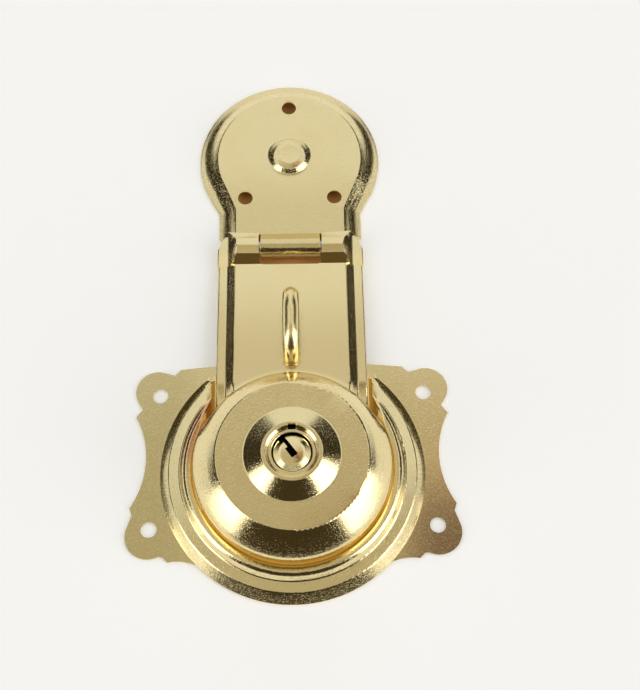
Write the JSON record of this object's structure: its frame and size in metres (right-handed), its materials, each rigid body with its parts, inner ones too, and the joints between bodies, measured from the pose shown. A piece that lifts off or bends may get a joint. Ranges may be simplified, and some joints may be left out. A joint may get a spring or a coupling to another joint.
{
  "type": "trunk lock",
  "caption": "Surface-mounted trunk lock: a hinged hasp with a round lock case closes into a ringed base plate, with a wire pull loop.",
  "frame": {"origin": "on the plug's axis, in the mounting plane at the back of the base plate", "axes": "+Y from the lock case towards the hinge and the lid plate, +Z out from the trunk, +X to the right seen from outside"},
  "size_m": [0.1008, 0.1805, 0.022],
  "materials": {
    "base_brass": "satin brass plate on sheet steel",
    "lid_brass": "satin brass plate on sheet steel",
    "hasp_brass": "satin brass plate on sheet steel",
    "loop_brass": "bright brass plate on steel wire",
    "plug_brass": "bright turned brass",
    "sleeve_brass": "turned brass",
    "works_steel": "zinc-plated steel",
    "cover_steel": "zinc-plated sheet steel",
    "spring_steel": "blued spring steel"
  },
  "bodies": {
    "fixed": {"base_plate": "base_brass", "catch_staple": "works_steel", "staple_rivets": "works_steel", "lid_plate": "lid_brass"},
    "hasp": {"hasp_shell": "hasp_brass", "hinge_pin": "works_steel", "pull_loop": "loop_brass", "loop_washers": "works_steel", "plug_sleeve": "sleeve_brass", "lock_frame": "works_steel", "cover_posts": "works_steel", "back_cover": "cover_steel", "cover_screws": "works_steel", "guide_rails": "works_steel", "bolt_bridge": "works_steel", "detent_spring": "spring_steel", "spring_rivet": "works_steel"},
    "bolt": {"bolt": "works_steel"},
    "plug": {"plug": "plug_brass", "cam": "works_steel", "plug_clip": "spring_steel"}
  },
  "joints": [
    {"name": "hasp_swing", "type": "hinge", "parent": "fixed", "child": "hasp", "pos_m": [0, 0.0746, 0.0053], "axis": [-1, 0, 0], "range_deg": [0, 120]},
    {"name": "plug_turn", "type": "hinge", "parent": "hasp", "child": "plug", "pos_m": [0, 0, 0.015], "axis": [0, 0, -1], "range_deg": [0, 90]},
    {"name": "bolt_slide", "type": "slide", "parent": "hasp", "child": "bolt", "axis": [0, -1, 0], "range_m": [0, 0.00707]}
  ],
  "couplings": [
    {"joint": "bolt_slide", "follows": "plug_turn", "m_per_rad": 0.0045016}
  ]
}
